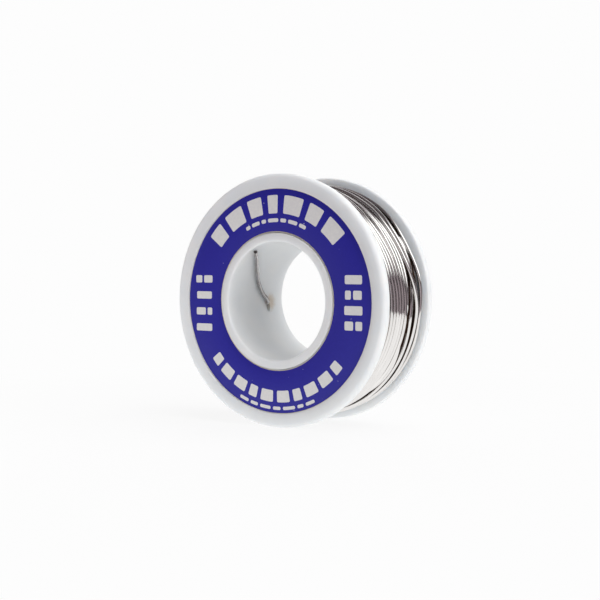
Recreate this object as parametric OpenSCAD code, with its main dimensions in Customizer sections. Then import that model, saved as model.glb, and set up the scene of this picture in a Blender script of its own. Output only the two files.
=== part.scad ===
// Solder wire spool: a welded plastic reel, its paper label and the solder wound on it.
// The reel's axis lies along Y, the labelled face looks along -Y and +Z is up.
// The origin is on the axis, halfway between the two flange faces. Millimetres.

/* [Reel] */
// Diameter of both flanges
flange_d = 50; // [48:0.5:60]
// Width over both flanges
spool_w = 18.8; // [17:0.2:30]
// Thickness of a flange
flange_t = 2.0; // [1.5:0.1:2.4]
// Rounding of a flange's rim on its outer side
rim_round = 0.8; // [0.4:0.1:1]
// Rounding of a flange's rim on the side of the wire
rim_inner_round = 0.3; // [0.1:0.05:0.4]
// Diameter of the bore at its two end lands
bore_d = 23.4; // [18:0.2:26]
// Wall of the barrel at its ends, inside the flanges
barrel_wall = 1.7; // [1.2:0.1:2.4]
// Height of the shoulder that each flange seats on
shoulder_h = 0.3; // [0.2:0.05:0.8]
// Length of the two lands that bear on a spindle, with their rounded mouths
land_l = 3.6; // [2:0.2:4]
// Depth of the relief between the lands
bore_relief = 0.2; // [0.1:0.05:0.5]
// Rounding of the bore's mouths
mouth_round = 0.4; // [0.2:0.05:0.8]
// Gap round the barrel's end, which the weld fills
weld_gap = 0.05; // [0.02:0.01:0.1]

/* [Label] */
// Bare band between the label and the flange's edge
rim_band = 2.9; // [2:0.1:6]
// Bare ring between the barrel's end and the label
collar_w = 0.2; // [0.2:0.05:1.5]
// Depth of the recess that the label lies in
label_recess = 0.4; // [0.2:0.05:0.6]
// Thickness of the paper label
label_t = 0.1; // [0.05:0.01:0.2]
// Gap between the label and the edges of its recess
label_gap = 0.05; // [0.02:0.01:0.15]

/* [Wire] */
// Diameter of the solder wire
wire_d = 0.8; // [0.6:0.05:1]
// Diameter of the flux core in the wire
flux_d = 0.3; // [0.2:0.02:0.4]
// Distance from the flange's edge down to the wound wire
wire_below_rim = 1.4; // [0.8:0.1:4]
// Least gap between two turns of the outer layer
turn_gap = 0.42; // [0.42:0.02:1]
// Gap between the wound wire and what it lies against
wind_gap = 0.1; // [0.05:0.01:0.2]
// Angle round the axis, from +X towards +Z, where the outer layer starts and ends
layer_end_angle = 215; // [0:5:355]
// Radius of the bend where an end of the outer layer tucks in
tuck_bend = 1; // [0.9:0.05:1.4]

/* [Wire hole] */
// Diameter of the hole that the start of the wire leaves the barrel by
wire_hole_d = 2.4; // [2.2:0.1:3.2]
// Angle of the hole round the axis, from +X towards +Z
hole_angle = 187; // [150:1:210]
// Distance of the hole from the labelled face
hole_depth = 13.5; // [13:0.1:14.5]
// Length of flux that fills the cut end of the wire
flux_l = 1.5; // [0.5:0.1:2]
// Clearance round the flux
flux_gap = 0.02; // [0.01:0.005:0.04]

/* [Hidden] */

$fn = 96;
// How far a cutting solid runs past the face that it cuts
cut_past = 1;

flange_r = flange_d / 2;
bore_r = bore_d / 2;
spigot_r = bore_r + barrel_wall;
barrel_r = spigot_r + shoulder_h;
half_w = spool_w / 2;
seat_z = half_w - flange_t;

label_in_r = spigot_r + collar_w;
label_out_r = flange_r - rim_band;

wire_r = wire_d / 2;
wound_r = flange_r - wire_below_rim;
layer_r = wound_r - wire_r;
layer_span = 2 * (seat_z - wind_gap - wire_r);
loops = min(24, floor(layer_span / (wire_d + turn_gap)));
pitch = layer_span / loops;

// A loop is a polygon of 24 rings, so its middle stretches dip a little below its radius
rings_per_loop = 24;
ring_angle = 360 / rings_per_loop;
loop_dip = layer_r * (1 - cos(ring_angle / 2));
inner_layers_r = layer_r - loop_dip - wire_r - wind_gap;
inner_layers_bore_r = barrel_r + wind_gap;

// The tucked end bends inwards, then runs straight for one diameter into its pocket
bend_steps = 4;
tuck_floor_r = layer_r - tuck_bend - wire_d;
tuck_angle = tuck_bend / layer_r * 180 / PI;
pocket_r = wire_r + wind_gap;

// Route of the free start of the wire, seen from the centre of its hole: the way round the
// bore wall, the gap between the wall and the wire's skin (negative inside the wall), and
// the way towards the labelled face
tail_lead = [0.1, 0.1];
tail_route = [
    [0.2, -0.75, 0.2],
    [0.75, 0.0, 0.55],
    [1.5, 0.15, 1.3],
    [2.5, 0.12, 2.5],
    [4.5, 0.12, 4.25],
    [6.8, 0.15, 5.9],
    [9.2, 0.15, 7.75],
    [11.4, 0.15, 9.7],
    [12.6, 0.2, 11.1],
    [13.9, 0.2, 12.6]
];
tail_steps = 2;

// Places a solid made round the Z axis: Z becomes the way out of the labelled face
module along_axis() {
    rotate([90, 0, 0]) children();
}

// Point at an angle and a radius round the axis, z towards the labelled face
function around(angle, radius, z) = [radius * cos(angle), radius * sin(angle), z];

function unit(v) = v / norm(v);

function tangents(path) = [
    for (i = [0 : len(path) - 1])
        unit(path[min(i + 1, len(path) - 1)] - path[max(i - 1, 0)])
];

// Side vectors that follow the path without twisting
function sides_along(ways, first) = [
    for (
        i = 0, side = unit(first - (first * ways[0]) * ways[0]);
        i < len(ways);
        i = i + 1, side = i < len(ways) ? unit(side - (side * ways[i]) * ways[i]) : side
    ) side
];

// One unbroken tube along a path of ring centres
module tube(path, radius, sides, first_side) {
    ways = tangents(path);
    side = sides_along(ways, first_side);
    rings = len(path);
    points = [
        for (i = [0 : rings - 1])
            for (k = [0 : sides - 1])
                path[i] + radius * (cos(360 * k / sides) * side[i]
                    + sin(360 * k / sides) * cross(ways[i], side[i]))
    ];
    skin = [
        for (i = [0 : rings - 2])
            for (k = [0 : sides - 1])
                let (a = i * sides + k, b = i * sides + (k + 1) % sides)
                    for (face = [[a, a + sides, b], [b, a + sides, b + sides]]) face
    ];
    last = (rings - 1) * sides;
    first_cap = [for (k = [1 : sides - 2]) [0, k, k + 1]];
    last_cap = [for (k = [1 : sides - 2]) [last, last + k + 1, last + k]];
    polyhedron(points, concat(first_cap, skin, last_cap), convexity = 10);
}

// Smooth curve through points, with the curve's ends left straight
function spline_point(p, i, t) =
    let (
        a = p[max(i - 1, 0)],
        b = p[i],
        c = p[i + 1],
        d = p[min(i + 2, len(p) - 1)],
        before = i == 0 ? 2 * b - c : a,
        after = i + 2 > len(p) - 1 ? 2 * c - b : d
    )
    0.5 * (2 * b + (c - before) * t + (2 * before - 5 * b + 4 * c - after) * t * t
        + (3 * b - before - 3 * c + after) * t * t * t);

function spline(p, steps) = concat(
    [for (i = [0 : len(p) - 2]) for (s = [0 : steps - 1]) spline_point(p, i, s / steps)],
    [p[len(p) - 1]]
);

// Rectangle in a turned section, between two radii and two heights
module section(r_from, r_to, z_from, z_to) {
    translate([r_from, z_from]) square([r_to - r_from, z_to - z_from]);
}

// Corner cutter of a rounded bore mouth, at height z, with up = 1 for the upper mouth
module mouth_corner(z, up) {
    translate([bore_r, z]) mirror([0, up > 0 ? 1 : 0]) difference() {
        translate([-cut_past, -cut_past]) square(mouth_round + cut_past);
        translate([mouth_round, mouth_round]) circle(mouth_round);
    }
}

// The moulded tube that the wire is wound on, with its ends stepped for the flanges
module barrel() {
    color("#e6e8ea") along_axis() difference() {
        rotate_extrude() difference() {
            union() {
                section(bore_r, spigot_r, -half_w, half_w);
                section(bore_r, barrel_r, -seat_z, seat_z);
            }
            section(bore_r - cut_past, bore_r + bore_relief, land_l - half_w, half_w - land_l);
            mouth_corner(half_w, 1);
            mouth_corner(-half_w, -1);
        }
        rotate([0, 90, hole_angle]) translate([hole_depth - half_w, 0, bore_r - cut_past])
            cylinder(h = barrel_wall + shoulder_h + 2 * cut_past, d = wire_hole_d);
    }
}

// Section of a flange, with its wire side at height 0
module flange_section() {
    rim_from = flange_r - rim_round;
    difference() {
        union() {
            section(spigot_r + weld_gap, rim_from, 0, flange_t);
            section(rim_from, flange_r - rim_inner_round, 0, flange_t - rim_round);
            section(rim_from, flange_r, rim_inner_round, flange_t - rim_round);
            translate([rim_from, flange_t - rim_round]) circle(rim_round);
            translate([flange_r - rim_inner_round, rim_inner_round]) circle(rim_inner_round);
        }
        section(label_in_r - label_gap, label_out_r + label_gap,
            flange_t - label_recess, flange_t + cut_past);
    }
}

module flange() {
    translate([0, 0, seat_z]) rotate_extrude() flange_section();
}

module front_flange() {
    color("#eceeee") along_axis() flange();
}

// The rear flange comes from the same mould, so it has the same recess, left bare
module rear_flange() {
    color("#eceeee") along_axis() mirror([0, 0, 1]) flange();
}

module front_label() {
    color("#37378f") along_axis() translate([0, 0, half_w - label_recess]) difference() {
        cylinder(h = label_t, r = label_out_r);
        translate([0, 0, -cut_past]) cylinder(h = label_t + 2 * cut_past, r = label_in_r);
    }
}

// The layers of wire under the outer one, as one solid, with a pocket at each of its ends
module solder_inner_layers() {
    core_z = seat_z - wind_gap;
    color("#7d7a78") along_axis() difference() {
        translate([0, 0, -core_z]) difference() {
            cylinder(h = 2 * core_z, r = inner_layers_r);
            translate([0, 0, -cut_past])
                cylinder(h = 2 * core_z + 2 * cut_past, r = inner_layers_bore_r);
        }
        for (way = [-1, 1])
            rotate([0, 90, layer_end_angle + way * tuck_angle])
                translate([way * layer_span / 2, 0, tuck_floor_r - wind_gap])
                    cylinder(h = layer_r - tuck_floor_r, r = pocket_r);
    }
}

// Rings of a tucked end: a quarter bend inwards and one straight diameter, way = 1 or -1
function tucked_end(way) = concat(
    [
        for (i = [1 : bend_steps])
            let (a = 90 * i / bend_steps)
                around(layer_end_angle + way * tuck_angle * sin(a),
                    layer_r - tuck_bend * (1 - cos(a)), -way * layer_span / 2)
    ],
    [around(layer_end_angle + way * tuck_angle, tuck_floor_r, -way * layer_span / 2)]
);

function reversed(list) = [for (i = [len(list) - 1 : -1 : 0]) list[i]];

// Outer layer, from the labelled side to the other: tucked start, helix, tucked end
layer_path = concat(
    reversed(tucked_end(-1)),
    [
        for (i = [0 : loops * rings_per_loop])
            around(layer_end_angle + i * ring_angle, layer_r,
                layer_span / 2 - i * pitch / rings_per_loop)
    ],
    tucked_end(1)
);

// Least gap between two stretches of the layer that lie at least half a loop apart
layer_gap = min([
    for (i = [0 : len(layer_path) - 1])
        for (j = [i + rings_per_loop / 2 : 1 : len(layer_path) - 1])
            norm(layer_path[i] - layer_path[j])
]) - wire_d;
echo(loops = loops, pitch = pitch, least_gap_between_turns = layer_gap);

module solder_outer_layer() {
    color("#a5a19d") along_axis() tube(layer_path, wire_r, 6, [0, 0, 1]);
}

// Point of the start tail from its place round, off and along the bore wall
function at_wall(way_round, off_wall, forward) =
    around(hole_angle - way_round / bore_r * 180 / PI,
        bore_r - wire_r - off_wall, half_w - hole_depth + forward);

// The tail starts straight, just short of the inner layers, and comes through the barrel's wall
tail_start_off = bore_r - wire_r - inner_layers_bore_r + wind_gap / 2;
tail_points = concat(
    [
        for (off = [tail_start_off, tail_start_off + wire_d + wind_gap])
            at_wall(tail_lead[0], off, tail_lead[1])
    ],
    [for (p = tail_route) at_wall(p[0], p[1], p[2])]
);
tail_path = spline(tail_points, tail_steps);
tail_tip = tail_path[len(tail_path) - 1];
tail_way = unit(tail_tip - tail_path[len(tail_path) - 2]);

// Turns Z to a direction and moves to a point
module facing(point, way) {
    translate(point)
        rotate([0, acos(way[2]), atan2(way[1], way[0])])
            children();
}

module solder_start_tail() {
    color("#8f8a86") along_axis() difference() {
        tube(tail_path, wire_r, 8, [0, 0, 1]);
        facing(tail_tip, tail_way)
            translate([0, 0, -flux_l]) cylinder(h = flux_l + cut_past, d = flux_d + 2 * flux_gap);
    }
}

module flux_core() {
    color("#3a2a1c") along_axis() facing(tail_tip, tail_way)
        translate([0, 0, -flux_l]) cylinder(h = flux_l, d = flux_d);
}

barrel();
front_flange();
rear_flange();
front_label();
solder_inner_layers();
solder_outer_layer();
solder_start_tail();
flux_core();
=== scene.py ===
# %% [markdown]
# # A spool of solder wire
# The reel is three mouldings of translucent polypropylene, welded together: a barrel and two flanges. A
# printed paper ring lies in the recess of the front flange, and a hundred grams of tin-lead wire are wound
# on the barrel. The measured model gives every size. This lesson makes the visible pieces around it:
# plastic that light sinks into, a printed label, and wire that mirrors the room.

# %% Load the measured model
import math

import bmesh
import bpy
import numpy as np
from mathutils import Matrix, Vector, noise


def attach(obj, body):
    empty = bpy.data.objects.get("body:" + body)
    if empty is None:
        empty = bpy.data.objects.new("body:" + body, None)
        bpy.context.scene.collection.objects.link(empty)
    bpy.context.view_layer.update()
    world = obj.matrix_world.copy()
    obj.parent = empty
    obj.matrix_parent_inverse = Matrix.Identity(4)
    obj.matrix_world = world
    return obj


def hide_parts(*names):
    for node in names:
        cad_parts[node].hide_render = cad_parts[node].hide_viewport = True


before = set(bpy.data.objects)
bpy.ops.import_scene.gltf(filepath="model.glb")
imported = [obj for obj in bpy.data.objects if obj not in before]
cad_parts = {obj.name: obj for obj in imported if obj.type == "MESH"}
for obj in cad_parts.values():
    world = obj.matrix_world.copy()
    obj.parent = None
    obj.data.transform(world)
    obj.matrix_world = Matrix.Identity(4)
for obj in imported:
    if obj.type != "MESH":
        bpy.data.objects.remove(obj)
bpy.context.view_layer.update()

MM = 0.001

# %% [markdown]
# ## Reading sizes off the model
# Every part of a spool is round about one axis, here Y, so two radii and two depths describe most of them.
# Reading them from the model's own points means that nothing is typed twice. Depths are counted from the
# labelled face, because that is where a maker would put the ruler.

# %% Radii and depths of each part
def reach(node):
    points = np.array([v.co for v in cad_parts[node].data.vertices])
    radii = np.hypot(points[:, 0], points[:, 2])
    return radii.min(), radii.max(), points[:, 1].min(), points[:, 1].max()


half_w = reach("rear_flange")[3]
spool_w = 2 * half_w
flange_r = reach("front_flange")[1]
flange_hole_r = reach("front_flange")[0]
flange_t = reach("front_flange")[3] + half_w
bore_r, barrel_r = reach("barrel")[:2]
label_in_r, label_out_r, label_front, label_back = reach("front_label")
label_depth = label_front + half_w
recess = label_back + half_w
wound_r = reach("solder_outer_layer")[1]
core_in_r = reach("solder_inner_layers")[0]
print("flange", round(flange_r / MM, 2), "bore", round(bore_r / MM, 2), "barrel", round(barrel_r / MM, 2))
print("recess", round(recess / MM, 2), "deep, label", round((label_out_r - label_in_r) / MM, 2), "wide")

# %% Placing things by angle, radius and depth
def around(angle, radius, depth):
    """A point at an angle in degrees from +X towards +Z, a radius, and a depth behind the labelled face."""
    turn = math.radians(angle)
    return Vector((radius * math.cos(turn), depth - half_w, radius * math.sin(turn)))


print("top of the front flange:", [round(c / MM, 1) for c in around(90, flange_r, 0)])

# %% [markdown]
# ## The camera
# The spool is seen from its front right, level with it, through a long lens that keeps its ellipses true.

# %% Camera
camera_data = bpy.data.cameras.new("camera")
camera_data.lens = 66.99
camera_data.sensor_width = 36
camera = bpy.data.objects.new("camera", camera_data)
camera.location = Vector((129.27, -185.774, 8.228)) * MM
look = Vector((-0.57232521, 0.81921372, -0.0365066))
camera.rotation_euler = look.to_track_quat("-Z", "Y").to_euler()
bpy.context.scene.collection.objects.link(camera)
bpy.context.scene.camera = camera
print("camera stands", round(camera.location.length, 3), "m from the middle of the spool")

# %% [markdown]
# ## Small tools for modelling
# A lathe part is drawn as half of its section and then spun. The section starts as one point, and each
# corner is extruded from the last, as one would click round an outline. Corners are rounded while it is
# still flat, which is far easier than rounding the finished solid. A new primitive and the model's own
# parts come selected, so every tool here first clears the selection.

# %% Selecting
def only(piece):
    """Makes a piece the one that operators act on."""
    bpy.ops.object.select_all(action="DESELECT")
    piece.select_set(True)
    bpy.context.view_layer.objects.active = piece


def middle(part):
    corners = [part.co] if isinstance(part, bmesh.types.BMVert) else [v.co for v in part.verts]
    return sum(corners, Vector()) / len(corners)


def choose(piece, parts, test):
    """In edit mode, selects the verts, edges or faces whose middle passes a test, and nothing else."""
    bpy.ops.mesh.select_mode(type={"verts": "VERT", "edges": "EDGE", "faces": "FACE"}[parts])
    bpy.ops.mesh.select_all(action="DESELECT")
    shape = bmesh.from_edit_mesh(piece.data)
    chosen = [part for part in getattr(shape, parts) if test(middle(part))]
    for part in chosen:
        part.select_set(True)
    bmesh.update_edit_mesh(piece.data)


def count(piece):
    return sum(len(face.vertices) - 2 for face in piece.data.polygons)


# %% Drawing a section
def draw_section(name, corners):
    """Draws an outline of (radius, depth) corners beside the axis, point after point, and fills it."""
    start = Vector((corners[0][0], corners[0][1] - half_w, 0))
    bpy.ops.object.select_all(action="DESELECT")
    bpy.ops.mesh.primitive_plane_add(size=MM, location=(0, 0, 0))
    piece = bpy.context.object
    piece.name = name
    bpy.ops.object.mode_set(mode="EDIT")
    bpy.ops.mesh.select_mode(type="VERT")
    bpy.ops.mesh.select_all(action="SELECT")
    bpy.ops.mesh.merge(type="CENTER")
    bpy.ops.transform.translate(value=start)
    for before, after in zip(corners, corners[1:]):
        step = (after[0] - before[0], after[1] - before[1], 0)
        bpy.ops.mesh.extrude_vertices_move(TRANSFORM_OT_translate={"value": step})
    bpy.ops.mesh.select_all(action="SELECT")
    bpy.ops.mesh.edge_face_add()
    return piece


def round_corners(piece, radius, rounding, test):
    choose(piece, "verts", test)
    bpy.ops.mesh.bevel(offset=radius, segments=rounding, affect="VERTICES")


def spin_section(piece, steps):
    """Spins the outline once round the axis and closes the seam."""
    bpy.ops.mesh.select_mode(type="VERT")
    bpy.ops.mesh.select_all(action="SELECT")
    bpy.ops.mesh.delete(type="ONLY_FACE")
    bpy.ops.mesh.select_all(action="SELECT")
    bpy.ops.mesh.spin(steps=steps, angle=2 * math.pi, center=(0, 0, 0), axis=(0, 1, 0))
    bpy.ops.mesh.select_all(action="SELECT")
    bpy.ops.mesh.remove_doubles(threshold=0.001 * MM)
    bpy.ops.mesh.normals_make_consistent(inside=False)
    bpy.ops.object.mode_set(mode="OBJECT")
    bpy.ops.object.shade_smooth_by_angle(angle=math.radians(35))
    return piece


def cut_away(piece, cutter):
    """Takes a cutter's volume out of a piece and deletes the cutter."""
    only(piece)
    cut = piece.modifiers.new("cut", "BOOLEAN")
    cut.object = cutter
    cut.operation = "DIFFERENCE"
    cut.solver = "EXACT"
    bpy.ops.object.modifier_apply(modifier=cut.name)
    bpy.data.objects.remove(cutter)
    bpy.ops.object.shade_smooth_by_angle(angle=math.radians(35))


# %% [markdown]
# ## The barrel
# The barrel is a plain tube with a bore that fits a spindle. Both mouths are rounded, because the moulder
# leaves no sharp edge for the wire or a thumb. The spigots at its ends are a little thinner, so that each
# flange seats against a shoulder. Spinning the section gives a true round bore. The hole for the start of
# the wire is cut afterwards with an oval punch, as the wire leaves it torn longer than wide.

# %% Barrel
corner_reach = 0.1 * MM
mouth_round = 0.4 * MM
spigot_round = 0.15 * MM
weld_gap = 0.05 * MM
spigot_r = flange_hole_r - weld_gap
barrel = draw_section("reel_barrel", [
    (bore_r, 0), (spigot_r, 0), (spigot_r, flange_t), (barrel_r, flange_t),
    (barrel_r, spool_w - flange_t), (spigot_r, spool_w - flange_t), (spigot_r, spool_w), (bore_r, spool_w)])
round_corners(barrel, mouth_round, 6, lambda place: place.x < bore_r + corner_reach)
round_corners(barrel, spigot_round, 3, lambda place: (
    abs(place.y) > half_w - corner_reach and place.x > spigot_r - corner_reach))
spin_section(barrel, 160)

hole_angle = 187
hole_depth = 13.5 * MM
hole_high = 2.9 * MM
hole_wide = 1.35 * MM
bpy.ops.object.select_all(action="DESELECT")
bpy.ops.mesh.primitive_cylinder_add(
    vertices=40, radius=0.5, depth=6 * MM, location=around(hole_angle, (bore_r + barrel_r) / 2, hole_depth),
    rotation=(0, math.radians(90 - hole_angle), 0))
punch = bpy.context.object
punch.scale = (hole_high, hole_wide, 1)
bpy.ops.object.transform_apply(location=True, rotation=True, scale=True)
cut_away(barrel, punch)
print("barrel:", count(barrel), "triangles")

# %% [markdown]
# ## The flanges
# Each flange is a disc with a rounded rim and a shallow recess for a label, whose wall leans a little so
# that the moulding comes off its tool. The rear one is never labelled, so the tool's own marks stay visible
# in its recess: three rings from the ejector pins, and the stub where the plastic was fed in.

# %% Flanges
rim_round = 0.8 * MM
rim_inner_round = 0.3 * MM
recess_round = 0.12 * MM
recess_r = label_out_r + 0.05 * MM
draft = 0.08 * MM


def make_flange(name, face, inward):
    """A flange whose outer face lies at a depth. Inward is 1 where that means towards +Y, else -1."""
    floor_depth = face + inward * recess
    back = face + inward * flange_t
    piece = draw_section(name, [
        (flange_hole_r, floor_depth), (recess_r - draft, floor_depth), (recess_r, face),
        (flange_r, face), (flange_r, back), (flange_hole_r, back)])
    on_face = face - half_w
    rim_from = recess_r + MM
    round_corners(piece, rim_round, 8, lambda spot: spot.x > rim_from and abs(spot.y - on_face) < MM)
    round_corners(piece, rim_inner_round, 4, lambda spot: spot.x > rim_from and abs(spot.y - on_face) > MM)
    round_corners(piece, recess_round, 3, lambda spot: abs(spot.x - recess_r) < 0.01 * MM)
    return spin_section(piece, 192)


front_flange = make_flange("flange_front", 0, 1)
rear_flange = make_flange("flange_rear", spool_w, -1)

# %% Marks of the moulding tool on the rear flange
pin_ring_r = 18 * MM
pin_r = 1.6 * MM
pin_mark = 0.06 * MM
recess_floor = spool_w - recess


def add_disc(name, angle, radius, from_depth, to_depth):
    """A short round bar along the axis, on the ring of the ejector pins."""
    bpy.ops.object.select_all(action="DESELECT")
    bpy.ops.mesh.primitive_cylinder_add(
        vertices=48, radius=radius, depth=to_depth - from_depth, rotation=(math.radians(90), 0, 0),
        location=around(angle, pin_ring_r, (from_depth + to_depth) / 2))
    disc = bpy.context.object
    disc.name = name
    bpy.ops.object.transform_apply(location=True, rotation=True, scale=True)
    return disc


for angle in (90, 210, 330):
    cut_away(rear_flange, add_disc("pin", angle, pin_r, recess_floor - pin_mark, recess_floor + MM))
stub_r = 0.7 * MM
stub_high = 0.15 * MM
stub = add_disc("feed_stub", 150, stub_r, recess_floor - 0.2 * MM, recess_floor + stub_high)
bpy.ops.object.mode_set(mode="EDIT")
choose(stub, "faces", lambda place: place.y > recess_floor + stub_high - 0.01 * MM - half_w)
bpy.ops.mesh.inset(thickness=0.25 * MM, depth=-0.08 * MM)
bpy.ops.object.mode_set(mode="OBJECT")
only(stub)
rear_flange.select_set(True)
bpy.context.view_layer.objects.active = rear_flange
bpy.ops.object.join()
print("flanges:", count(front_flange), "and", count(rear_flange), "triangles")

# %% [markdown]
# ## The label
# The label is a ring of coated paper, printed violet-blue all over and die-cut, so a thin line of bare
# cream paper shows at both cut edges. It lies on the floor of the recess. The white print stands for text
# without being any: rounded blocks of ink in arcs and rows. Each block is real ink, a hundredth of a
# millimetre thick, so that it stays crisp from any distance.

# %% Paper ring
cut_edge_round = 0.03 * MM
label = draw_section("label_ring", [
    (label_in_r, label_depth), (label_out_r, label_depth), (label_out_r, recess), (label_in_r, recess)])
round_corners(label, cut_edge_round, 2, lambda place: place.y < label_depth + 0.01 * MM - half_w)
spin_section(label, 192)
print("label:", count(label), "triangles,", round((recess - label_depth) / MM, 2), "mm thick")

# %% Ink blocks
ink_t = 0.012 * MM
ink_front = label_depth - ink_t
corner_round = 0.28 * MM
arc_step = 1.5
blocks = []


def round_block(piece):
    """Rounds the four corners of a block, which are its only edges along Y."""
    bpy.ops.mesh.select_mode(type="EDGE")
    bpy.ops.mesh.select_all(action="DESELECT")
    shape = bmesh.from_edit_mesh(piece.data)
    shape.normal_update()
    for edge in shape.edges:
        along = (edge.verts[0].co - edge.verts[1].co).normalized()
        turn = edge.calc_face_angle(0)
        if abs(along.y) > 0.99 and turn > math.radians(60):
            edge.select_set(True)
    bmesh.update_edit_mesh(piece.data)
    bpy.ops.mesh.bevel(offset=corner_round, segments=3, affect="EDGES")


def arc_block(middle_angle, sweep, in_r, out_r):
    """A block between two radii, bent round the label."""
    piece = draw_section("ink", [
        (in_r, ink_front), (out_r, ink_front), (out_r, label_depth), (in_r, label_depth)])
    steps = max(2, round(sweep / arc_step))
    bpy.ops.mesh.spin(steps=steps, angle=math.radians(sweep), center=(0, 0, 0), axis=(0, 1, 0))
    bpy.ops.mesh.select_all(action="SELECT")
    bpy.ops.mesh.remove_doubles(threshold=0.0005 * MM)
    bpy.ops.mesh.normals_make_consistent(inside=False)
    round_block(piece)
    bpy.ops.object.mode_set(mode="OBJECT")
    ends = [math.degrees(math.atan2(v.co.z, v.co.x)) for v in piece.data.vertices]
    piece.rotation_euler.y = -math.radians(middle_angle - (min(ends) + max(ends)) / 2)
    bpy.ops.object.transform_apply(location=True, rotation=True, scale=True)
    blocks.append(piece)


def row_block(across, up, width, height):
    """A straight block, upright on the label."""
    bpy.ops.object.select_all(action="DESELECT")
    bpy.ops.mesh.primitive_cube_add(size=1, location=(across, ink_front + ink_t / 2 - half_w, up))
    piece = bpy.context.object
    piece.scale = (width, ink_t, height)
    bpy.ops.object.transform_apply(location=True, rotation=True, scale=True)
    bpy.ops.object.mode_set(mode="EDIT")
    round_block(piece)
    bpy.ops.object.mode_set(mode="OBJECT")
    blocks.append(piece)


print("ink:", round(ink_t / MM, 3), "mm thick")

# %% Laying out the print
def lay_arc(from_angle, sweeps, gap, in_r, out_r):
    """Sets blocks side by side, clockwise from an angle."""
    angle = from_angle
    for sweep in sweeps:
        arc_block(angle - sweep / 2, sweep, in_r, out_r)
        angle -= sweep + gap


def lay_rows(across, height, rows):
    """Sets rows of blocks under each other, each centred on one upright line. All in millimetres."""
    for up, widths in rows:
        edge = across - (sum(widths) + block_gap * (len(widths) - 1)) / 2
        for width in widths:
            row_block((edge + width / 2) * MM, up * MM, width * MM, height * MM)
            edge += width + block_gap


block_gap = 0.5
title_ring = (17.2 * MM, 20.8 * MM)
fine_print_ring = (15.5 * MM, 16.25 * MM)
maker_ring = (17.6 * MM, 19.9 * MM)
address_ring = (20.75 * MM, 21.4 * MM)
lay_arc(142, [10, 13, 10, 7, 13, 10, 13], 4.5, *title_ring)
lay_arc(117, [4, 7, 4, 9, 5, 8, 6], 1.8, *fine_print_ring)
lay_arc(-38, [6, 9, 9, 6, 9, 9, 6, 9, 9, 6], 3.0, *maker_ring)
lay_arc(-64, [6, 4, 8, 5, 7, 5, 6], 1.6, *address_ring)
lay_rows(-18.1, 1.5, [(4.2, (1.6, 2.2)), (0.9, (3.9,)), (-2.4, (2.4, 1.2)), (-5.7, (4.1,))])
lay_rows(18.0, 1.7, [(4.4, (3.8,)), (1.5, (1.3, 1.9)), (-1.4, (4.0,)), (-4.3, (1.9, 1.5))])

only(blocks[0])
for block in blocks:
    block.select_set(True)
bpy.ops.object.join()
label_print = bpy.context.object
label_print.name = "label_print"
print("print:", len(blocks), "blocks,", count(label_print), "triangles")

# %% [markdown]
# ## The winding
# Wire is laid on by a machine that walks to and fro, so each layer is one long screw line, and the next
# layer winds back the other way. Evenness is lost near the rear flange: some turns stand apart, one climbs
# over its neighbour, one dives under and comes up again, and the last lies low beside the flange. The turns
# are worked out from the even screw, and a list of measured spots says where they really lie: an angle, a
# depth in millimetres and how far above its place. A curve with a round bevel turns that line into wire.

# %% Wire along a line
wire_r = 0.4 * MM


def tube(name, points, radii, sides=16):
    """A round wire along a list of points, with a radius at each, as a closed mesh."""
    curve = bpy.data.curves.new(name, "CURVE")
    curve.dimensions = "3D"
    curve.bevel_depth = 1
    curve.bevel_resolution = sides // 4 - 1
    curve.use_fill_caps = True
    spline = curve.splines.new("POLY")
    spline.points.add(len(points) - 1)
    for spot, point, radius in zip(spline.points, points, radii):
        spot.co = (*point, 1)
        spot.radius = radius
    wire = bpy.data.objects.new(name, curve)
    bpy.context.scene.collection.objects.link(wire)
    only(wire)
    bpy.ops.object.convert(target="MESH")
    bpy.ops.object.shade_smooth_by_angle(angle=math.radians(50))
    return wire


print("wire:", round(2 * wire_r / MM, 2), "mm thick")

# %% Even screw lines
turns = 14
steps_per_turn = 144
first_lane = flange_t + wire_r
last_lane = spool_w - flange_t - wire_r
lane_pitch = (last_lane - first_lane) / turns


def even_depth(turn, angle):
    """How deep a turn lies at an angle from 180 down to -180 degrees, where the winding is even."""
    return first_lane + lane_pitch * (turn + (180 - angle) / 360)


print("pitch of the top layer:", round(lane_pitch / MM, 3), "mm")

# %% Where the turns really lie
# The close turns at the front, 0 to 7: their depths in millimetres at each angle.
front_turns = {
    60: (2.4, 3.2, 4.0, 4.8, 5.6, 6.4, 7.2, 8.2),
    50: (2.4, 3.15, 3.9, 4.65, 5.4, 6.15, 6.95, 8.65),
    40: (2.4, 3.14, 3.88, 4.62, 5.36, 6.05, 6.95, 8.9),
    30: (2.4, 3.15, 3.95, 4.75, 5.55, 6.35, 7.35, 8.95),
    20: (2.4, 3.15, 4.0, 5.0, 5.98, 7.05, 8.15, 9.4),
    10: (2.4, 3.25, 4.3, 5.33, 6.38, 7.47, 8.62, 9.7),
    0: (2.4, 3.3, 4.45, 5.6, 6.8, 7.9, 8.9, 9.85),
    -12: (2.4, 3.4, 4.5, 5.7, 6.8, 7.9, 8.82, 9.8),
    -40: (2.4, 3.4, 4.4, 5.4, 6.45, 7.5, 8.55, 9.55),
    -60: (2.4, 3.3, 4.2, 5.1, 6.0, 6.9, 7.85, 8.75),
    -75: (2.4, 3.3, 4.2, 5.1, 6.0, 6.9, 7.85, 8.75)}
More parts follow.
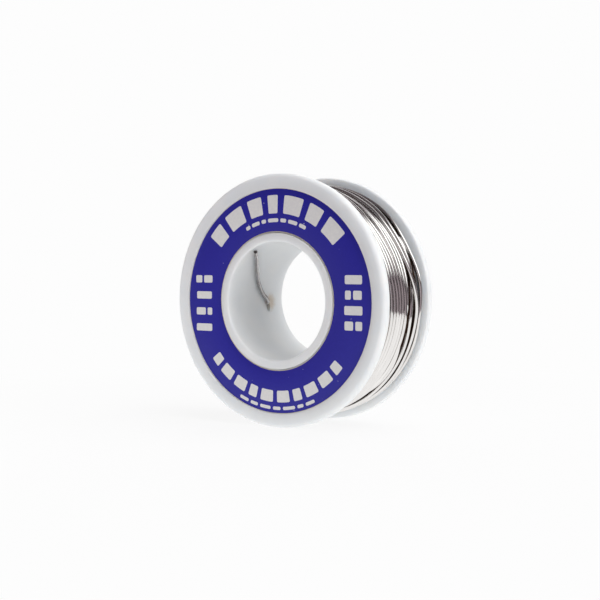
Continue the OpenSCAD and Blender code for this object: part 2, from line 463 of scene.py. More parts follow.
# The loose turns: spots of an angle, a depth and a lift above the even place, both in millimetres.
loose_turns = {
    8: [(-75, 9.6, -0.15), (-60, 9.6, -0.12), (-50, 10.0, 0.05), (-42, 10.42, 0.1), (-34, 10.8, 0.15),
        (-26, 10.65, 0.15), (-20, 10.7, 0.15), (-12, 10.8, 0.18), (-6, 10.85, 0.1), (0, 10.75, 0),
        (10, 10.8, -0.12), (20, 10.65, -0.18), (30, 10.35, -0.18), (40, 10.0, -0.18), (50, 9.5, -0.12),
        (60, 9.15, -0.15), (75, 9.4, -0.25)],
    9: [(-80, 12.2, -0.8), (-54, 12.3, -0.8), (-47, 12.35, -0.3), (-41, 12.25, -0.05), (-36, 12.12, 0),
        (-33, 12.2, 0), (-30, 12.4, -0.15), (-27, 12.7, -0.5), (-24, 12.8, -0.85), (-16, 12.3, -0.9),
        (-10, 11.9, -0.75), (-6, 11.65, -0.25), (0, 11.6, -0.05), (10, 11.92, -0.15), (20, 11.9, -0.22),
        (30, 11.42, -0.28), (40, 11.05, -0.28), (50, 11.05, -0.3), (58, 11.0, -0.4), (75, 11.0, -0.5)],
    10: [(-104, 13.35, 0.3), (-94, 13.7, 0.45), (-75, 14.9, 0.15), (-60, 15.2, 0.1), (-50, 15.6, 0.1),
         (-40, 15.55, 0.1), (-30, 15.35, 0.05), (-22, 15.3, 0.0), (-12, 15.0, 0.1), (-4, 14.9, 0.25),
         (0, 14.7, 0.32), (5, 14.1, 0.37), (10, 13.53, 0.4), (15, 12.82, 0.38), (20, 12.45, 0.3),
         (25, 12.15, 0.3), (30, 11.85, 0.3), (40, 11.6, 0.3), (50, 11.7, 0.3), (60, 11.7, 0.15),
         (75, 12.3, 0.05)],
    11: [(-104, 13.95, -0.25), (-94, 13.6, -0.35), (-75, 13.9, -0.1), (-60, 13.7, 0), (-52, 13.6, 0),
         (-48, 13.75, 0), (-40, 13.6, 0), (-30, 13.67, 0), (-20, 13.5, 0), (-12, 13.22, -0.06),
         (-4, 13.35, -0.16), (0, 13.5, -0.24), (5, 13.8, -0.34), (10, 14.05, -0.38), (15, 14.2, 0.0),
         (20, 13.75, 0.25), (25, 13.5, 0.33), (30, 13.05, 0.35), (35, 12.9, 0.35), (40, 12.95, 0.35),
         (50, 13.5, 0.25), (60, 14.0, 0.1), (70, 14.4, 0)],
    12: [(-75, 15.9, 0), (-60, 16.2, 0.1), (-50, 16.4, 0.1), (-30, 16.4, 0.3), (-20, 16.4, 0.35),
         (-12, 16.3, 0.15), (-4, 16.3, 0.15), (0, 16.4, 0.25), (5, 16.4, 0.35), (10, 16.4, 0.42),
         (15, 16.4, 0.25), (20, 16.1, 0.15), (25, 15.85, 0.1), (30, 15.75, 0.1), (35, 15.75, 0.1),
         (40, 15.95, 0.1), (45, 16.25, 0.1), (50, 16.4, 0.1), (75, 15.6, 0)],
    13: [(-75, 16.4, -0.6), (75, 16.4, -0.6)]}
# Beyond this angle, round the far side, every turn is back in its even place.
calm_angle = 112


def measured_spots(turn):
    """The angles, depths and lifts that are known for a turn, front to back in rising angle."""
    if turn in loose_turns:
        return loose_turns[turn]
    return [(angle, depths_there[turn], 0) for angle, depths_there in sorted(front_turns.items())]


def stray(turn, angle):
    """How far a turn lies beside and above its even place at an angle, in millimetres."""
    spots = measured_spots(turn)
    at = [-calm_angle] + [spot[0] for spot in spots] + [calm_angle]
    aside = [0] + [spot[1] - even_depth(turn, spot[0]) / MM for spot in spots] + [0]
    above = [0] + [spot[2] for spot in spots] + [0]
    return np.interp(angle, at, aside), np.interp(angle, at, above)


def soften(values, width):
    """Averages each value with its neighbours, so that a wire bends and never kinks."""
    weights = np.hanning(width + 2)[1:-1]
    padded = np.pad(values, width // 2, mode="edge")
    return np.convolve(padded, weights / weights.sum(), mode="valid")


print("turn 9 level with the axis lies", np.round(stray(9, 0), 2), "mm beside and above its place")

# %% Top layer
def shaken(along, seed, size):
    """A slow wander of up to about a size. Its seed gives every run the same one."""
    return noise.noise(Vector((along, seed, 0))) * size


def dive(step, last_step, deep, over):
    """How far the ends of a wire have bent down into the layers below."""
    to_end = min(step, last_step - step)
    return deep * max(0, 1 - to_end / over) ** 2


end_dive = 1.3 * MM
end_steps = 16
last_step = turns * steps_per_turn
depths = np.zeros(last_step + 1)
lifts = np.zeros(last_step + 1)
angles = np.zeros(last_step + 1)
for i in range(last_step + 1):
    turn = min(i // steps_per_turn, turns - 1)
    angle = 180 - 360 * (i - turn * steps_per_turn) / steps_per_turn
    aside, above = stray(turn, angle)
    angles[i] = angle
    depths[i] = even_depth(turn, angle) + aside * MM + shaken(i / 30, seed=3, size=0.05 * MM)
    lifts[i] = above * MM + shaken(i / 25, seed=11, size=0.06 * MM)
    lifts[i] -= dive(i, last_step, end_dive, end_steps)
depths = np.clip(soften(depths, 7), first_lane, last_lane)
lifts = soften(lifts, 7)
top_points = [around(a, wound_r - wire_r + up, deep) for a, up, deep in zip(angles, lifts, depths)]
top_layer = tube("winding_top_layer", top_points, [wire_r] * len(top_points))
print("top layer:", count(top_layer), "triangles, out to", round((wound_r + lifts.max()) / MM, 2), "mm")

# %% Layer below, wound back the other way
under_turns = turns + 1
under_steps = under_turns * steps_per_turn
under_drop = 0.68 * MM
under_end_dive = 0.6 * MM
under_end_steps = 10
under_points = []
for i in range(under_steps + 1):
    share = i / under_steps
    deep = last_lane - (last_lane - first_lane) * share + shaken(i / 35, seed=23, size=0.1 * MM)
    low = under_drop - shaken(i / 30, seed=31, size=0.06 * MM)
    low += dive(i, under_steps, under_end_dive, under_end_steps)
    deep = min(max(deep, first_lane), last_lane)
    under_points.append(around(180 - 360 * i / steps_per_turn, wound_r - wire_r - low, deep))
under_layer = tube("winding_under_layer", under_points, [wire_r] * len(under_points))
print("layer below:", count(under_layer), "triangles")

# %% Turns of the layer below that come up through a gap
surfacing_front = [(48, 7.9, -0.8), (43, 7.95, -0.45), (36, 8.05, -0.3), (28, 8.25, -0.25),
                   (22, 8.6, -0.4), (17, 8.8, -0.8)]
surfacing_rear = [(37, 15.1, -0.8), (33, 15.05, -0.4), (30, 15.0, -0.3), (27, 15.05, -0.3),
                  (24, 15.2, -0.5), (21, 15.3, -0.8)]


def surface(name, spots):
    """A short stretch of a lower turn, which comes up and dives again."""
    at, lying, rising = (np.array(values)[::-1] for values in zip(*spots))
    points = [around(a, wound_r - wire_r + np.interp(a, at, rising) * MM, np.interp(a, at, lying) * MM)
              for a in np.linspace(at[-1], at[0], 60)]
    return tube(name, points, [wire_r] * len(points))


stray_turns = [surface("winding_surfacing_turn_front", surfacing_front),
               surface("winding_surfacing_turn_rear", surfacing_rear)]
print("surfacing turns:", sum(count(turn) for turn in stray_turns), "triangles")

# %% Everything under those layers
ridge_count = 14
core_gap = 0.1 * MM
core_top = wound_r - 2 * wire_r - under_drop - core_gap
core_front = flange_t + 0.05 * MM
core_back = spool_w - core_front
ridge_w = (core_back - core_front) / ridge_count
ridge_steps = 6
ridges = []
for ridge in range(ridge_count):
    for step in range(ridge_steps):
        bulge = math.sin(math.pi * step / ridge_steps) * ridge_w / 2
        ridges.append((core_top - wire_r + bulge, core_front + ridge_w * (ridge + step / ridge_steps)))
core = draw_section("winding_core", [(core_in_r, core_front)] + ridges + [
    (core_top - wire_r, core_back), (core_in_r, core_back)])
spin_section(core, 96)
print("core:", count(core), "triangles")

# %% [markdown]
# ## The free start of the wire
# The first end of the wire comes up through the hole and lies along the bore wall to the front mouth, where
# it was nipped off. The cutters left a notch behind the tip, and the cut end shows the rosin inside. Its
# route is counted from the middle of the hole: how far round, how far off the wall and how far forward.

# %% Free start
tail_route = [
    (0.2, -0.75, 0.2), (0.75, 0, 0.55), (1.5, 0.15, 1.3), (2.5, 0.12, 2.5), (4.5, 0.12, 4.25),
    (6.8, 0.15, 5.9), (9.2, 0.15, 7.75), (11.4, 0.15, 9.7), (12.6, 0.2, 11.1), (13.9, 0.2, 12.6)]


def at_wall(way, off, forward):
    angle = hole_angle - math.degrees(way * MM / bore_r)
    return around(angle, bore_r - wire_r - off * MM, hole_depth - forward * MM)


def through(points, per_span):
    """A smooth line through points, with a few more between each two."""
    ends = [2 * points[0] - points[1]] + points + [2 * points[-1] - points[-2]]
    line = []
    for a, b, c, d in zip(ends, ends[1:], ends[2:], ends[3:]):
        for t in np.linspace(0, 1, per_span, endpoint=False):
            line.append(0.5 * (2 * b + (c - a) * t + (2 * a - 5 * b + 4 * c - d) * t ** 2
                               + (3 * b - a - 3 * c + d) * t ** 3))
    return line + [points[-1]]


tail_line = through([at_wall(*spot) for spot in tail_route], 12)
steps = [(b - a).length for a, b in zip(tail_line, tail_line[1:])]
to_tip = np.array([sum(steps[i:]) for i in range(len(tail_line))])
notch_at = 1.75 * MM
notch_w = 0.22 * MM
notch_share = 0.28
notch = notch_share * np.exp(-((to_tip - notch_at) / notch_w) ** 2)
handled_from = 2.4 * MM
handled_share = 0.05
handled = handled_share * np.sin(to_tip / MM * 1.9) * (to_tip > handled_from)
tail = tube("wire_tail", tail_line, wire_r * (1 - notch - handled), 20)
print("free start:", round(to_tip[0] / MM, 1), "mm long")

# %% Cut end and its rosin
tip = tail_line[-1]
tip_way = (tail_line[-1] - tail_line[-2]).normalized()
hollow_deep = 0.12 * MM
rosin_r = 0.27 * MM
rosin_t = 0.1 * MM
rosin_sunk = 0.075 * MM
only(tail)
bpy.ops.object.mode_set(mode="EDIT")
choose(tail, "faces", lambda place: (place - tip).length < 0.05 * MM)
bpy.ops.mesh.inset(thickness=wire_r - rosin_r, depth=0)
bpy.ops.mesh.inset(thickness=0.02 * MM, depth=-hollow_deep)
bpy.ops.object.mode_set(mode="OBJECT")

bpy.ops.object.select_all(action="DESELECT")
bpy.ops.mesh.primitive_cylinder_add(vertices=24, radius=rosin_r - 0.03 * MM, depth=rosin_t)
rosin_core = bpy.context.object
rosin_core.name = "rosin_core"
bpy.ops.object.mode_set(mode="EDIT")
choose(rosin_core, "faces", lambda place: place.z > 0.4 * rosin_t)
bpy.ops.mesh.inset(thickness=0.06 * MM, depth=0.025 * MM)
bpy.ops.object.mode_set(mode="OBJECT")
rosin_core.location = tip - tip_way * rosin_sunk
rosin_core.rotation_euler = tip_way.to_track_quat("Z", "Y").to_euler()
bpy.ops.object.transform_apply(location=True, rotation=True, scale=True)
bpy.ops.object.shade_smooth_by_angle(angle=math.radians(35))
print("rosin core:", round(2 * rosin_r / MM, 2), "mm across")

# %% [markdown]
# ## What each piece stands for
# Every piece rides on the spool's one body. Most take the place of a plain solid, which is then hidden, and
# the rest are detail that no solid has.

# %% Pieces, solids and finishes
stands_for = [
    (barrel, "reel_plastic", "barrel"),
    (front_flange, "reel_plastic", "front_flange"),
    (rear_flange, "reel_plastic", "rear_flange"),
    (label, "label_paper", "front_label"),
    (label_print, "label_paper", None),
    (top_layer, "solder", "solder_outer_layer"),
    (under_layer, "solder", None),
    (core, "solder", "solder_inner_layers"),
    (tail, "solder", "solder_start_tail"),
    (rosin_core, "flux", "flux_core")]
stands_for += [(turn, "solder", None) for turn in stray_turns]
for piece, slot, node in stands_for:
    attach(piece, "root")
    if node:
        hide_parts(node)
print(len(stands_for), "pieces for", len(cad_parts), "solids")

# %% [markdown]
# ## Colours and nodes
# Colours are written as the hex codes that a maker would read off a chart, and one function turns them to
# linear light. A second small function adds a node and joins it up, so that a material reads like a recipe.

# %% Colours and nodes
def colour(code):
    """A colour from its sRGB hex code, turned to linear light."""
    parts = [int(code[i:i + 2], 16) / 255 for i in (1, 3, 5)]
    return [p / 12.92 if p <= 0.04045 else ((p + 0.055) / 1.055) ** 2.4 for p in parts] + [1]


def add(tree, kind, inputs=None, **settings):
    """Adds one node. Settings are its options, and inputs are values or sockets to join."""
    node = tree.nodes.new(kind)
    for name, value in settings.items():
        setattr(node, name, value)
    for name, value in (inputs or {}).items():
        if isinstance(value, bpy.types.NodeSocket):
            tree.links.new(value, node.inputs[name])
        else:
            node.inputs[name].default_value = value
    return node


def new_material(name):
    material = bpy.data.materials.new(name)
    material.use_nodes = True
    tree = material.node_tree
    tree.nodes.clear()
    return material, tree


def give(piece, material):
    piece.data.materials.clear()
    piece.data.materials.append(material)


print("mid grey is", round(colour("#808080")[0], 3), "in linear light")

# %% [markdown]
# ## Moulded polypropylene
# Natural polypropylene is a milky white that light sinks into: it glows at thin edges and turns grey where
# dark metal lies behind it. Subsurface scattering over a couple of millimetres gives both at once, with
# nothing painted. Its skin is satin from the tool, so the roughness is middling and a fine bump breaks up
# the highlight. Round the wire hole it has a faint tan stain of rosin.

# %% Polypropylene
def make_polypropylene(name, stained=False):
    material, tree = new_material(name)
    place = add(tree, "ShaderNodeTexCoord").outputs["Object"]
    cloud = add(tree, "ShaderNodeTexNoise", {"Vector": place, "Scale": 1 / (5 * MM), "Detail": 3})
    tint = add(tree, "ShaderNodeMix", {
        "Factor": cloud.outputs["Fac"], "A": colour("#dde1e4"), "B": colour("#e9eae9")}, data_type="RGBA")
    surface_colour = tint.outputs["Result"]
    if stained:
        stain_middle = around(hole_angle - 3, bore_r, hole_depth + 0.8 * MM)
        ragged = add(tree, "ShaderNodeTexNoise", {"Vector": place, "Scale": 1 / (0.8 * MM), "Detail": 3})
        off = add(tree, "ShaderNodeVectorMath", {0: place, 1: stain_middle}, operation="DISTANCE")
        rough_off = add(tree, "ShaderNodeMath", {
            0: ragged.outputs["Fac"], 1: 1.2 * MM, 2: off.outputs["Value"]}, operation="MULTIPLY_ADD")
        fade = add(tree, "ShaderNodeMapRange", {
            "Value": rough_off.outputs["Value"], "From Min": 1.2 * MM, "From Max": 2.9 * MM,
            "To Min": 0.45, "To Max": 0}, interpolation_type="SMOOTHSTEP")
        stain = add(tree, "ShaderNodeMix", {
            "Factor": fade.outputs["Result"], "A": surface_colour, "B": colour("#b9975f")},
            data_type="RGBA")
        surface_colour = stain.outputs["Result"]
    skin = add(tree, "ShaderNodeTexNoise", {"Vector": place, "Scale": 1 / (0.35 * MM), "Detail": 4})
    bump = add(tree, "ShaderNodeBump", {
        "Height": skin.outputs["Fac"], "Strength": 0.12, "Distance": 0.03 * MM})
    rough = add(tree, "ShaderNodeMapRange", {"Value": cloud.outputs["Fac"], "To Min": 0.34, "To Max": 0.48})
    shader = add(tree, "ShaderNodeBsdfPrincipled", {
        "Base Color": surface_colour, "Roughness": rough.outputs["Result"], "IOR": 1.49,
        "Subsurface Weight": 1.0, "Subsurface Radius": (0.9, 0.95, 1.0), "Subsurface Scale": 2.2 * MM,
        "Normal": bump.outputs["Normal"]})
    add(tree, "ShaderNodeOutputMaterial", {"Surface": shader.outputs["BSDF"]})
    return material


polypropylene = make_polypropylene("moulded_polypropylene")
give(front_flange, polypropylene)
give(rear_flange, polypropylene)
give(barrel, make_polypropylene("rosin_stained_polypropylene", stained=True))
print("materials so far:", len(bpy.data.materials))

# %% [markdown]
# ## Printed label paper
# The blue is ink on coated paper. A fine mottle keeps it from looking like plastic, a few pale specks are
# where the ink was rubbed off, and both cut edges show the cream of the sheet. The white blocks are a thick
# ink with the same light satin.

# %% Label paper and ink
def make_label_paper():
    material, tree = new_material("printed_label_paper")
    place = add(tree, "ShaderNodeTexCoord").outputs["Object"]
    mottle = add(tree, "ShaderNodeTexNoise", {"Vector": place, "Scale": 1 / (0.45 * MM), "Detail": 5})
    ink = add(tree, "ShaderNodeMix", {
        "Factor": mottle.outputs["Fac"], "A": colour("#19168a"), "B": colour("#211d9a")}, data_type="RGBA")
    rubbed = add(tree, "ShaderNodeTexNoise", {"Vector": place, "Scale": 1 / (0.9 * MM), "Detail": 2})
    speck = add(tree, "ShaderNodeMapRange", {
        "Value": rubbed.outputs["Fac"], "From Min": 0.73, "From Max": 0.78, "To Min": 0, "To Max": 0.5})
    worn = add(tree, "ShaderNodeMix", {
        "Factor": speck.outputs["Result"], "A": ink.outputs["Result"], "B": colour("#c9c6cf")},
        data_type="RGBA")
    flat = add(tree, "ShaderNodeVectorMath", {0: place, 1: (1, 0, 1)}, operation="MULTIPLY")
    radius = add(tree, "ShaderNodeVectorMath", {0: flat.outputs["Vector"]}, operation="LENGTH")
    middle_r = (label_in_r + label_out_r) / 2
    off_middle = add(tree, "ShaderNodeMath", {0: radius.outputs["Value"], 1: middle_r}, operation="SUBTRACT")
    to_edge = add(tree, "ShaderNodeMath", {0: off_middle.outputs["Value"]}, operation="ABSOLUTE")
    nibbled = add(tree, "ShaderNodeMath", {
        0: mottle.outputs["Fac"], 1: 0.08 * MM, 2: to_edge.outputs["Value"]}, operation="MULTIPLY_ADD")
    bare = add(tree, "ShaderNodeMapRange", {
        "Value": nibbled.outputs["Value"], "From Min": label_out_r - middle_r - 0.06 * MM,
        "From Max": label_out_r - middle_r - 0.04 * MM, "To Min": 0, "To Max": 1})
    paper = add(tree, "ShaderNodeMix", {
        "Factor": bare.outputs["Result"], "A": worn.outputs["Result"], "B": colour("#d9cfb6")},
        data_type="RGBA")
    fibre = add(tree, "ShaderNodeBump", {
        "Height": mottle.outputs["Fac"], "Strength": 0.15, "Distance": 0.02 * MM})
    shader = add(tree, "ShaderNodeBsdfPrincipled", {
        "Base Color": paper.outputs["Result"], "Roughness": 0.55, "IOR": 1.45,
        "Normal": fibre.outputs["Normal"]})
    add(tree, "ShaderNodeOutputMaterial", {"Surface": shader.outputs["BSDF"]})
    return material


def make_white_ink():
    material, tree = new_material("white_screen_ink")
    place = add(tree, "ShaderNodeTexCoord").outputs["Object"]
    mottle = add(tree, "ShaderNodeTexNoise", {"Vector": place, "Scale": 1 / (0.5 * MM), "Detail": 4})
    ink = add(tree, "ShaderNodeMix", {
        "Factor": mottle.outputs["Fac"], "A": colour("#d4d4d6"), "B": colour("#e6e5e2")}, data_type="RGBA")
    shader = add(tree, "ShaderNodeBsdfPrincipled", {
        "Base Color": ink.outputs["Result"], "Roughness": 0.5, "IOR": 1.5})
    add(tree, "ShaderNodeOutputMaterial", {"Surface": shader.outputs["BSDF"]})
    return material


give(label, make_label_paper())
give(label_print, make_white_ink())
print("materials so far:", len(bpy.data.materials))

# %% [markdown]
# ## Drawn tin-lead wire
# Solder wire is pulled through a die, so it is nearly a mirror, with fine lines along its length and duller
# patches where it has oxidised or rubbed. The lines follow the wire round the spool, so their pattern reads
# the angle round the axis as its long direction. They are drawn a fifth of a millimetre wide, coarser than
# the real ones, because finer ones would vanish in the picture. The turns below the surface and the core are
# painted near black: partly the oxide they have, and partly painted shade for the deep gaps between the
# turns.
# The handled free end is duller.

# %% Solder
def make_solder(name, dark, bright, rough_low, rough_high):
    material, tree = new_material(name)
    place = add(tree, "ShaderNodeTexCoord").outputs["Object"]
    parts = add(tree, "ShaderNodeSeparateXYZ", {"Vector": place})
    turned = add(tree, "ShaderNodeMath", {
        0: parts.outputs["Z"], 1: parts.outputs["X"]}, operation="ARCTAN2")
    along = add(tree, "ShaderNodeMath", {0: turned.outputs["Value"], 1: wound_r}, operation="MULTIPLY")
    flat = add(tree, "ShaderNodeVectorMath", {0: place, 1: (1, 0, 1)}, operation="MULTIPLY")
    radius = add(tree, "ShaderNodeVectorMath", {0: flat.outputs["Vector"]}, operation="LENGTH")
    wound = add(tree, "ShaderNodeCombineXYZ", {
        "X": along.outputs["Value"], "Y": parts.outputs["Y"], "Z": radius.outputs["Value"]})
    drawn_out = add(tree, "ShaderNodeMapping", {"Vector": wound.outputs["Vector"], "Scale": (0.04, 1, 1)})
    lines = add(tree, "ShaderNodeTexNoise", {
        "Vector": drawn_out.outputs["Vector"], "Scale": 1 / (0.2 * MM), "Detail": 2})
    patch_way = add(tree, "ShaderNodeMapping", {"Vector": wound.outputs["Vector"], "Scale": (0.25, 1, 1)})
    patches = add(tree, "ShaderNodeTexNoise", {
        "Vector": patch_way.outputs["Vector"], "Scale": 1 / (1.2 * MM), "Detail": 4})
    tint = add(tree, "ShaderNodeMix", {
        "Factor": patches.outputs["Fac"], "A": colour(dark), "B": colour(bright)}, data_type="RGBA")
    rough = add(tree, "ShaderNodeMapRange", {
        "Value": patches.outputs["Fac"], "From Min": 0.3, "From Max": 0.7,
        "To Min": rough_high, "To Max": rough_low})
    bump = add(tree, "ShaderNodeBump", {
        "Height": lines.outputs["Fac"], "Strength": 0.25, "Distance": 0.02 * MM})
    shader = add(tree, "ShaderNodeBsdfPrincipled", {
        "Base Color": tint.outputs["Result"], "Metallic": 1, "Roughness": rough.outputs["Result"],
        "Normal": bump.outputs["Normal"]})
    add(tree, "ShaderNodeOutputMaterial", {"Surface": shader.outputs["BSDF"]})
    return material


bright_solder = make_solder("drawn_tin_lead", "#d9d6d4", "#efedeb", 0.04, 0.1)
# Painted shade: the layer below and the core get a near black finish, which stands in for the shade in the
# gaps between the turns as well as for their oxide.
painted_shade_solder = make_solder("oxide_and_painted_shade_tin_lead", "#20150f", "#463126", 0.25, 0.4)
handled_solder = make_solder("handled_tin_lead", "#918d8f", "#d6d3d2", 0.12, 0.32)
give(top_layer, bright_solder)
for turn in stray_turns:
    give(turn, bright_solder)
give(under_layer, painted_shade_solder)
give(core, painted_shade_solder)
give(tail, handled_solder)
print("materials so far:", len(bpy.data.materials))

# %% [markdown]
# ## Rosin
# The flux is rosin, a brittle brown resin that is glossy where it has broken or run. Here it is painted near
# black, partly its own brown and partly painted shade for the hollow cut end of the wire.

# %% Rosin
def make_rosin_and_painted_shade():
    material, tree = new_material("rosin_and_painted_shade")
    place = add(tree, "ShaderNodeTexCoord").outputs["Object"]
    cracked = add(tree, "ShaderNodeTexNoise", {"Vector": place, "Scale": 1 / (0.15 * MM), "Detail": 4})
    # Painted shade: the rosin's brown is darkened to near black, standing in for the shade in the hollow
    # tip.
    tint = add(tree, "ShaderNodeMix", {
        "Factor": cracked.outputs["Fac"], "A": colour("#0c0806"), "B": colour("#2b1b10")}, data_type="RGBA")
    bump = add(tree, "ShaderNodeBump", {
        "Height": cracked.outputs["Fac"], "Strength": 0.3, "Distance": 0.02 * MM})
    shader = add(tree, "ShaderNodeBsdfPrincipled", {
        "Base Color": tint.outputs["Result"], "Roughness": 0.25, "IOR": 1.53,
        "Normal": bump.outputs["Normal"]})
    add(tree, "ShaderNodeOutputMaterial", {"Surface": shader.outputs["BSDF"]})
    return material


give(rosin_core, make_rosin_and_painted_shade())
print("materials:", len(bpy.data.materials))

# %% [markdown]
# ## The studio
# Bright wire shows the room more than itself, so the room is laid out by what the wire should mirror. High
# at the right hangs an oval window with a soft top and foot, which draws the white streaks over the upper
# turns. Behind the spool stands a bright wall, the camera's side and the ceiling are a dim violet grey, and
# all the rest is dark. The fills carry the plastic and the paper, and stay out of the wire's reflections.

# %% Lamps
def facing_from(bearing, height, distance):
    """A place seen from the spool at a bearing from +X towards +Y and at a height, in degrees."""
    turn = math.radians(bearing)
    rise = math.radians(height)
    level = Vector((math.cos(turn), math.sin(turn), 0)) * math.cos(rise)
    return (level + Vector((0, 0, math.sin(rise)))) * distance


def area_lamp(name, place, width, height, power):
    """A rectangular lamp that faces the spool, and that the wire doesn't mirror."""
    light = bpy.data.lights.new(name, "AREA")
    light.shape = "RECTANGLE"
    light.size = width
    light.size_y = height
    light.energy = power
    lamp = bpy.data.objects.new(name, light)
    lamp.location = place
    lamp.rotation_euler = (-place).to_track_quat("-Z", "Y").to_euler()
    lamp.visible_glossy = False
    bpy.context.scene.collection.objects.link(lamp)


near_left_power = 0.034
top_power = 1.85
right_power = 0.95
area_lamp("fill_near_left", facing_from(-129, 0, 142 * MM), 50 * MM, 40 * MM, near_left_power)
area_lamp("fill_top", facing_from(20, 75, 600 * MM), 500 * MM, 500 * MM, top_power)
area_lamp("fill_right", facing_from(-5, 20, 600 * MM), 400 * MM, 400 * MM, right_power)
print("lamps, W:", [(light.name, round(light.energy, 3)) for light in bpy.data.lights])

# %% Directions of the room
world = bpy.data.worlds.new("studio")
bpy.context.scene.world = world
world.use_nodes = True
world_tree = world.node_tree
world_tree.nodes.clear()

# Bearings are 0 at the rear, 90 at the right, 180 at the labelled side and negative at the left. Rises are 0
# level with the spool and 90 overhead.
direction = add(world_tree, "ShaderNodeTexCoord").outputs["Generated"]
split = add(world_tree, "ShaderNodeSeparateXYZ", {"Vector": direction})
turned = add(world_tree, "ShaderNodeMath", {
    0: split.outputs["X"], 1: split.outputs["Y"]}, operation="ARCTAN2")
raised = add(world_tree, "ShaderNodeMath", {0: split.outputs["Z"]}, operation="ARCSINE")
bearing = add(world_tree, "ShaderNodeMath", {
    0: turned.outputs["Value"]}, operation="DEGREES").outputs["Value"]
rise = add(world_tree, "ShaderNodeMath", {
    0: raised.outputs["Value"]}, operation="DEGREES").outputs["Value"]
print("directions:", len(world_tree.nodes), "nodes")

# %% Oval window
# Bearing and rise in degrees. The third numbers only fill the vectors.
window_middle = (85, 44, 0)
window_half = (52, 32, 1)
aim = add(world_tree, "ShaderNodeCombineXYZ", {"X": bearing, "Y": rise})
from_middle = add(world_tree, "ShaderNodeVectorMath", {
    0: aim.outputs["Vector"], 1: window_middle}, operation="SUBTRACT")
in_halves = add(world_tree, "ShaderNodeVectorMath", {
    0: from_middle.outputs["Vector"], 1: window_half}, operation="DIVIDE")
off_window = add(world_tree, "ShaderNodeVectorMath", {
    0: in_halves.outputs["Vector"]}, operation="LENGTH").outputs["Value"]
print("window:", 2 * window_half[0], "degrees wide,", 2 * window_half[1], "degrees high")

# %% Parts of the room
rear_level = 1
left_level = 0.3
window_level = 1.9
near_level = 0.4
ceiling_level = 0.1
dark_level = 0.045
# Each part has a level and its fades. A fade is a measure, the two ends that it runs between, and the share
# of the level that it leaves at each end.
room_parts = {
    "rear wall": (rear_level, [
        (bearing, 2, 14, 1, 0), (bearing, -65, -50, 0, 1), (rise, -2, 14, 0.35, 1), (rise, 46, 58, 1, 0)]),
    "left wall": (left_level, [
        (bearing, -65, -50, 1, 0), (bearing, -140, -125, 0, 1), (rise, 30, 50, 1, 0)]),
    "window": (window_level, [
        (off_window, 0.9, 1.06, 1, 0), (rise, 5, 22, 0, 1), (rise, 50, 74, 1, 0.1)]),
    "near side, right": (near_level, [
        (bearing, 20, 40, 0, 1), (bearing, 65, 150, 0.2, 1), (rise, 5, 13, 1, 0.1)]),
    "near side, left": (near_level, [(bearing, -140, -125, 1, 0), (rise, 5, 13, 1, 0.1)]),
    "ceiling, rear and left": (ceiling_level, [(bearing, 0, 30, 1, 0), (rise, 42, 62, 0, 1)]),
    "ceiling, near side": (ceiling_level, [(bearing, 130, 160, 0, 1), (rise, 42, 62, 0, 1)])}
walls = 0
for level, fades in room_parts.values():
    light = level
    for measure, low, high, low_share, high_share in fades:
        fade = add(world_tree, "ShaderNodeMapRange", {
            "Value": measure, "From Min": low, "From Max": high, "To Min": low_share, "To Max": high_share},
            interpolation_type="SMOOTHSTEP")
        light = add(world_tree, "ShaderNodeMath", {
            0: light, 1: fade.outputs["Result"]}, operation="MULTIPLY").outputs["Value"]
    walls = add(world_tree, "ShaderNodeMath", {0: walls, 1: light}, operation="ADD").outputs["Value"]
print("room:", len(room_parts), "parts,", len(world_tree.nodes), "nodes")

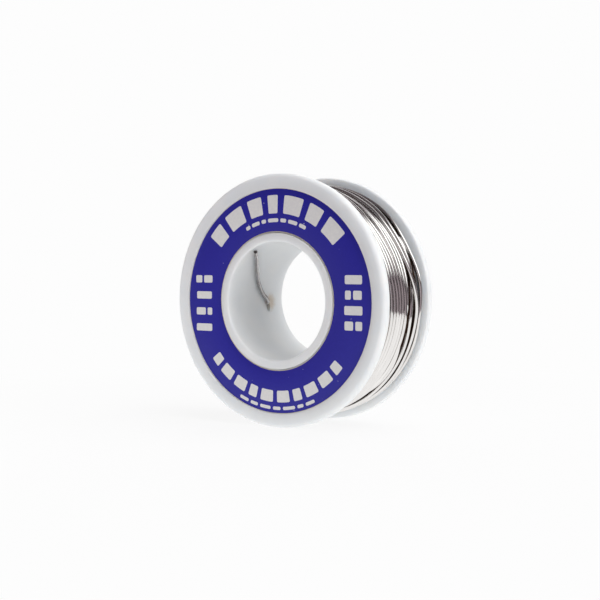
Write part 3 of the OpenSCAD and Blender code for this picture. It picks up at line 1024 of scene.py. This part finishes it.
# %% Light of the room
# Dim parts are tinted a violet grey, and bright ones stay white.
bright = add(world_tree, "ShaderNodeMapRange", {
    "Value": walls, "From Min": 0.4, "From Max": 0.6}, interpolation_type="SMOOTHSTEP")
tint = add(world_tree, "ShaderNodeMix", {
    "Factor": bright.outputs["Result"], "A": colour("#f4e2ea"), "B": colour("#ffffff")}, data_type="RGBA")
strength = add(world_tree, "ShaderNodeMath", {0: walls, 1: dark_level}, operation="ADD")
room = add(world_tree, "ShaderNodeBackground", {
    "Color": tint.outputs["Result"], "Strength": strength.outputs["Value"]})
backdrop = add(world_tree, "ShaderNodeBackground", {"Color": colour("#fdfdfd"), "Strength": 1})
ray = add(world_tree, "ShaderNodeLightPath")
seen = add(world_tree, "ShaderNodeMixShader", {
    0: ray.outputs["Is Camera Ray"], 1: room.outputs["Background"], 2: backdrop.outputs["Background"]})
add(world_tree, "ShaderNodeOutputWorld", {"Surface": seen.outputs["Shader"]})
print("world:", len(world_tree.nodes), "nodes")

# %% [markdown]
# ## The floor
# The floor is a pale round table top. Close to the spool it is real paint, which keeps the soft contact
# shadow, and further off it fades into the backdrop. To the wire and the plastic it is the bright sweep
# that lights them from below, and beyond its edge the room begins.

# %% Floor
floor_r = 152 * MM
floor_t = 10 * MM
floor_level = 1.05
bpy.ops.object.select_all(action="DESELECT")
bpy.ops.mesh.primitive_cylinder_add(
    vertices=96, radius=floor_r, depth=floor_t, location=(0, 0, -flange_r - floor_t / 2))
floor = bpy.context.object
floor.name = "floor"
bpy.ops.object.transform_apply(location=True)


def make_floor_paint():
    material, tree = new_material("pale_floor")
    place = add(tree, "ShaderNodeTexCoord").outputs["Object"]
    hit = add(tree, "ShaderNodeLightPath")
    paint = add(tree, "ShaderNodeBsdfDiffuse", {"Color": colour("#f2f2f2")})
    lit = add(tree, "ShaderNodeEmission", {"Color": colour("#ffffff"), "Strength": floor_level})
    backdrop_white = add(tree, "ShaderNodeEmission", {"Color": colour("#fdfdfd"), "Strength": 1.0})
    flat = add(tree, "ShaderNodeVectorMath", {0: place, 1: (1, 1, 0)}, operation="MULTIPLY")
    far = add(tree, "ShaderNodeVectorMath", {0: flat.outputs["Vector"]}, operation="LENGTH")
    fade = add(tree, "ShaderNodeMapRange", {
        "Value": far.outputs["Value"], "From Min": 30 * MM, "From Max": 120 * MM,
        "To Min": 0.9, "To Max": 1.0})
    near = add(tree, "ShaderNodeMixShader", {
        0: fade.outputs["Result"], 1: paint.outputs["BSDF"], 2: backdrop_white.outputs["Emission"]})
    mixed = add(tree, "ShaderNodeMixShader", {
        0: hit.outputs["Is Camera Ray"], 1: lit.outputs["Emission"], 2: near.outputs["Shader"]})
    add(tree, "ShaderNodeOutputMaterial", {"Surface": mixed.outputs["Shader"]})
    return material


give(floor, make_floor_paint())
bpy.context.scene.view_settings.view_transform = "Standard"
print("floor at", round(-flange_r / MM, 1), "mm")
